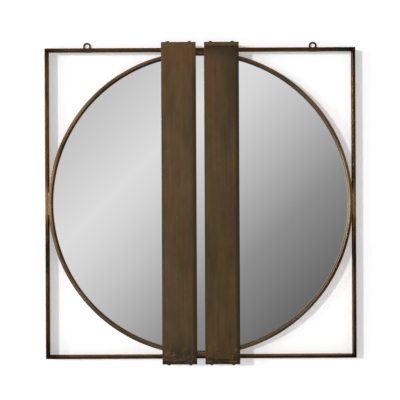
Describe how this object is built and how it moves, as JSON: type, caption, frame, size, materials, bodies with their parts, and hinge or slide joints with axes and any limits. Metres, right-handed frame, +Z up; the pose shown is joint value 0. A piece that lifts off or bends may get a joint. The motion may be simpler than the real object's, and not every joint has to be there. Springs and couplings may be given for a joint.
{
  "type": "wall mirror",
  "caption": "Wall mirror: a round glass deep in a metal hoop, inside a square frame of flat bars, crossed by wide vertical sheet bands bolted to the frame, and hung by eyes behind the top bar.",
  "frame": {"origin": "the point of the wall behind the centre of the glass", "axes": "+X to the right as seen from the room, +Y into the wall, +Z up"},
  "size_m": [0.9144, 0.046, 0.9554],
  "materials": {
    "frame_bronze": "dark antique bronze patina over steel flat bar, satin lacquer",
    "band_bronze": "brushed antique bronze patina over steel sheet, satin lacquer",
    "black_fasteners": "black oxide, lightly glossy",
    "silvered_glass": "clear silvered mirror",
    "backing_board": "bare dark hardboard",
    "foam_tape": "white closed-cell foam tape",
    "zinc_clips": "zinc plated",
    "bumper_rubber": "soft black rubber"
  },
  "bodies": {
    "root": {"frame_top_bar": "frame_bronze", "frame_bottom_bar": "frame_bronze", "frame_left_bar": "frame_bronze", "frame_right_bar": "frame_bronze", "hoop": "frame_bronze", "hoop_welds": "frame_bronze", "carrier_top_left": "frame_bronze", "carrier_top_right": "frame_bronze", "carrier_bottom_left": "frame_bronze", "carrier_bottom_right": "frame_bronze", "hanger_left": "frame_bronze", "hanger_right": "frame_bronze", "band_left": "band_bronze", "band_right": "band_bronze", "band_bolts": "black_fasteners", "band_washers": "black_fasteners", "mirror_glass": "silvered_glass", "backing_board": "backing_board", "foam_tape": "foam_tape", "board_clips": "zinc_clips", "clip_screws": "zinc_clips", "wall_bumpers": "bumper_rubber"}
  },
  "joints": []
}
